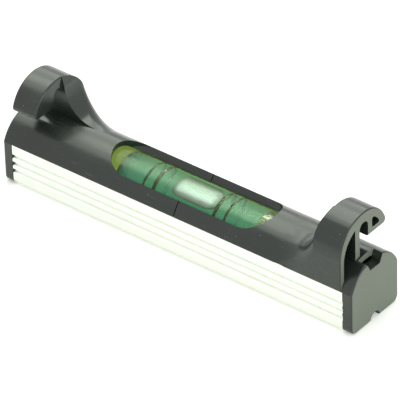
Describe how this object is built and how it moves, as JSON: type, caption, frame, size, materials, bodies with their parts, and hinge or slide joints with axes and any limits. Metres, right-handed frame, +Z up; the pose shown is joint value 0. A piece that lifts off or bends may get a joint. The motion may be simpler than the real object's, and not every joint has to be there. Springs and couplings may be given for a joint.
{
  "type": "line level",
  "caption": "Pocket line level: ribbed aluminium channel under a black domed top with string hooks at both ends and a green vial with a free bubble in its window.",
  "frame": {"origin": "on the sole, under the middle of the level", "axes": "+X along the level towards the hook that opens to +Y, +Z up out of the sole"},
  "size_m": [0.08, 0.0138, 0.0221],
  "materials": {
    "anodised_aluminium": "satin anodised extrusion with fine lengthwise die lines",
    "black_plastic": "glossy black moulding with light dust and fine scuffs",
    "clear_acrylic": "clear and polished",
    "green_liquid": "clear green liquid",
    "black_ring": "black printed band",
    "air": "air bubble with a bright edge"
  },
  "bodies": {
    "frame": {"channel_profile": "anodised_aluminium", "end_moulding_right": "black_plastic", "end_moulding_left": "black_plastic", "vial_barrel": "clear_acrylic", "vial_plug": "clear_acrylic", "vial_liquid": "green_liquid", "ring_outer_left": "black_ring", "ring_inner_left": "black_ring", "ring_inner_right": "black_ring", "ring_outer_right": "black_ring"},
    "bubble": {"bubble": "air"}
  },
  "joints": [
    {"name": "bubble_slide", "type": "slide", "parent": "frame", "child": "bubble", "axis": [1, 0, 0], "range_m": [-0.0107, 0.0081], "stiffness_N_per_m": 0.02}
  ]
}
